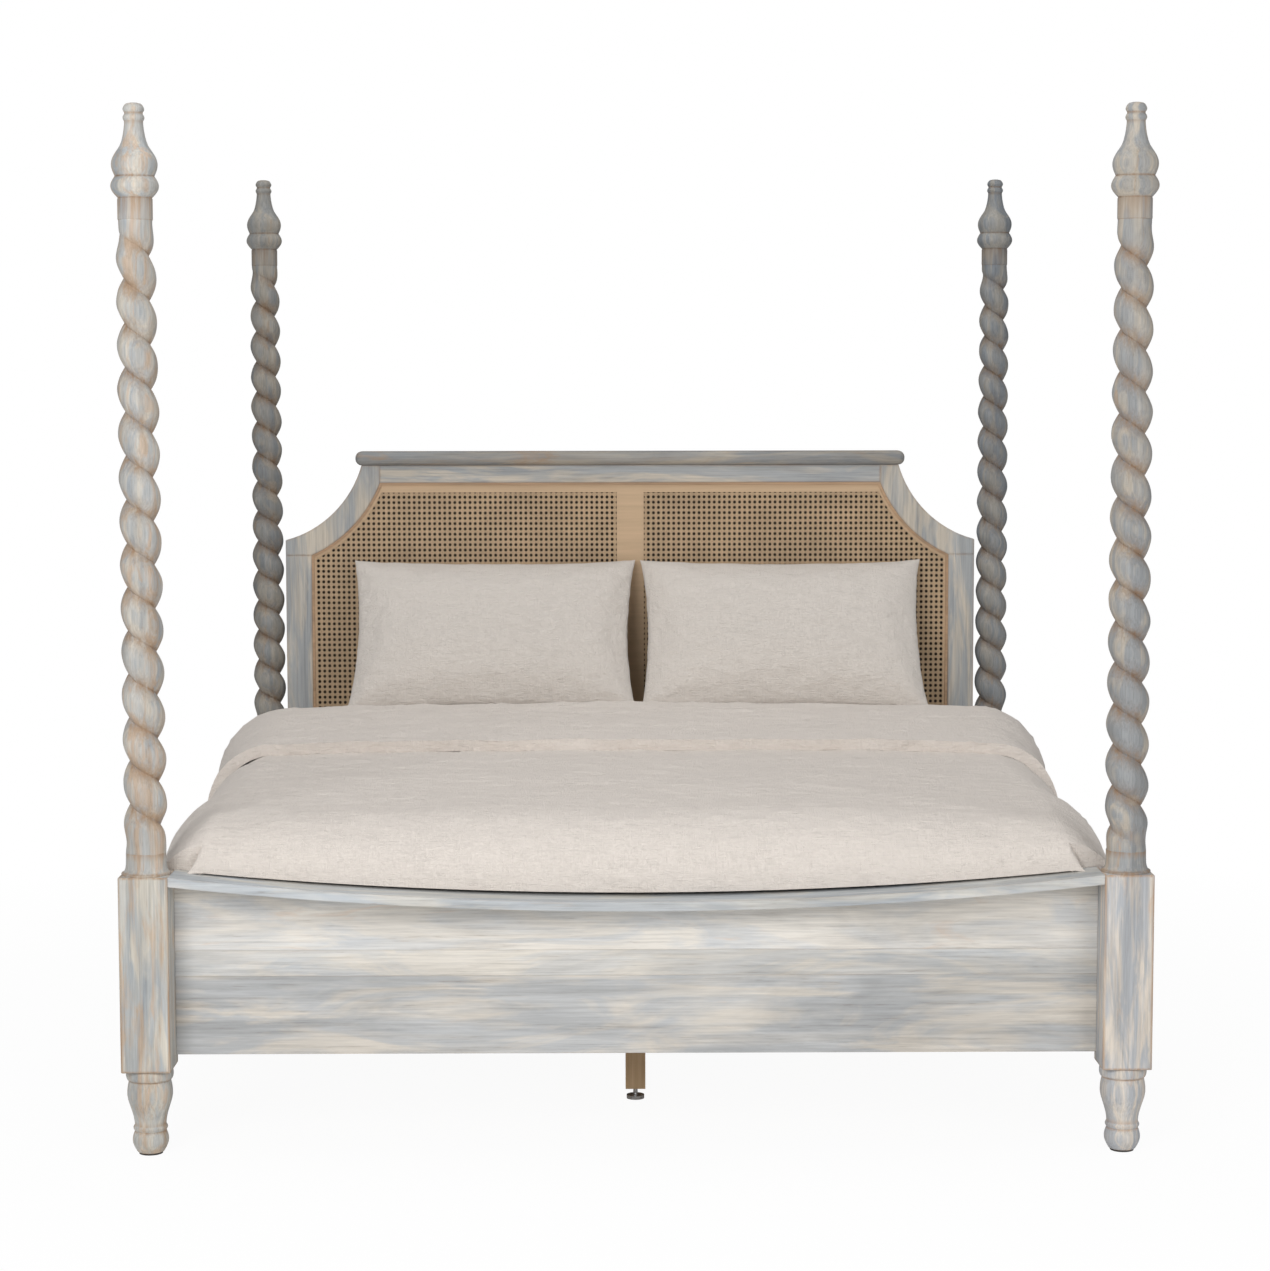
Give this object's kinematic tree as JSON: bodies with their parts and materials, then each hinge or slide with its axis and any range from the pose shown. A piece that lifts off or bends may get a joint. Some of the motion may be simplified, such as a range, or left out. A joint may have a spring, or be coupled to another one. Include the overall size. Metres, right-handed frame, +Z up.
{
  "type": "canopy bed",
  "caption": "King-size bed with tall twisted corner posts and turned finials, a cane headboard with curved corners, a hollow-topped footboard, slatted base, mattress, duvet and leaning pillows.",
  "frame": {"origin": "on the floor under the middle of the bed, halfway between the posts", "axes": "+Z up, +X to the right seen from the foot end, +Y from the footboard to the headboard"},
  "size_m": [2.2626, 2.232, 2.197],
  "materials": {
    "weathered_wood": "whitewashed grey-blue and cream wood with rubbed brown edges, matt",
    "plain_wood": "unfinished softwood",
    "woven_cane": "open woven cane, satin",
    "cane_strip": "tan strip, satin",
    "dark_back_panel": "dark stained plywood, matt",
    "duvet_linen": "washed linen",
    "pillow_linen": "washed linen",
    "mattress_ticking": "knitted ticking",
    "zinc_steel": "zinc-plated",
    "insert_brass": "plain",
    "glide_plastic": "moulded"
  },
  "bodies": {
    "frame": {"beam_hangers": "zinc_steel", "cane_bead": "weathered_wood", "cane_centre_strip": "cane_strip", "cane_sheet_left": "woven_cane", "cane_sheet_right": "woven_cane", "centre_beam": "plain_wood", "centre_leg_foot": "plain_wood", "centre_leg_head": "plain_wood", "centre_leg_middle": "plain_wood", "centre_leg_studs": "zinc_steel", "finial_pins": "plain_wood", "foot_glides": "glide_plastic", "footboard_board_bottom": "weathered_wood", "footboard_board_middle": "weathered_wood", "footboard_board_top": "weathered_wood", "footboard_cap": "weathered_wood", "footboard_dowels": "plain_wood", "footboard_tenons": "plain_wood", "headboard_back_panel": "dark_back_panel", "headboard_bolts": "zinc_steel", "headboard_bottom_rail": "weathered_wood", "headboard_bracket_left": "weathered_wood", "headboard_bracket_right": "weathered_wood", "headboard_cap_bar": "weathered_wood", "headboard_inserts": "insert_brass", "headboard_lower_rail": "weathered_wood", "headboard_stile_left": "weathered_wood", "headboard_stile_right": "weathered_wood", "headboard_top_rail": "weathered_wood", "ledger_left": "plain_wood", "ledger_right": "plain_wood", "ledger_screws": "zinc_steel", "leg_back_left": "weathered_wood", "leg_back_right": "weathered_wood", "leg_front_left": "weathered_wood", "leg_front_right": "weathered_wood", "leveller_inserts": "insert_brass", "post_slot_plates": "zinc_steel", "post_studs": "zinc_steel", "rail_hook_plates": "zinc_steel", "side_rail_left": "weathered_wood", "side_rail_right": "weathered_wood", "slats": "plain_wood", "twisted_post_back_left": "weathered_wood", "twisted_post_back_right": "weathered_wood", "twisted_post_front_left": "weathered_wood", "twisted_post_front_right": "weathered_wood"},
    "mattress_body": {"mattress": "mattress_ticking"},
    "duvet_body": {"duvet": "duvet_linen"},
    "pillow_left_body": {"pillow_left": "pillow_linen"},
    "pillow_right_body": {"pillow_right": "pillow_linen"},
    "leveller_foot_body": {"leveller_foot": "zinc_steel"},
    "leveller_middle_body": {"leveller_middle": "zinc_steel"},
    "leveller_head_body": {"leveller_head": "zinc_steel"},
    "finial_front_left_body": {"finial_front_left": "weathered_wood"},
    "finial_front_right_body": {"finial_front_right": "weathered_wood"},
    "finial_back_left_body": {"finial_back_left": "weathered_wood"},
    "finial_back_right_body": {"finial_back_right": "weathered_wood"}
  },
  "joints": [
    {"name": "finial_front_left_lift", "type": "slide", "parent": "frame", "child": "finial_front_left_body", "axis": [0, 0, 1], "range_m": [0, 0.06]},
    {"name": "finial_front_right_lift", "type": "slide", "parent": "frame", "child": "finial_front_right_body", "axis": [0, 0, 1], "range_m": [0, 0.06]},
    {"name": "finial_back_left_lift", "type": "slide", "parent": "frame", "child": "finial_back_left_body", "axis": [0, 0, 1], "range_m": [0, 0.06]},
    {"name": "finial_back_right_lift", "type": "slide", "parent": "frame", "child": "finial_back_right_body", "axis": [0, 0, 1], "range_m": [0, 0.06]},
    {"name": "leveller_foot_screw", "type": "slide", "parent": "frame", "child": "leveller_foot_body", "axis": [0, 0, 1], "range_m": [0, 0.014]},
    {"name": "leveller_middle_screw", "type": "slide", "parent": "frame", "child": "leveller_middle_body", "axis": [0, 0, 1], "range_m": [0, 0.014]},
    {"name": "leveller_head_screw", "type": "slide", "parent": "frame", "child": "leveller_head_body", "axis": [0, 0, 1], "range_m": [0, 0.014]},
    {"name": "mattress_lift", "type": "slide", "parent": "frame", "child": "mattress_body", "axis": [0, 0, 1], "range_m": [0, 0.2]},
    {"name": "duvet_lift", "type": "slide", "parent": "mattress_body", "child": "duvet_body", "axis": [0, 0, 1], "range_m": [0, 0.2]},
    {"name": "pillow_left_lift", "type": "slide", "parent": "duvet_body", "child": "pillow_left_body", "axis": [0, -0.28, 0.96], "range_m": [0, 0.7]},
    {"name": "pillow_right_lift", "type": "slide", "parent": "duvet_body", "child": "pillow_right_body", "axis": [0, -0.28, 0.96], "range_m": [0, 0.7]}
  ]
}
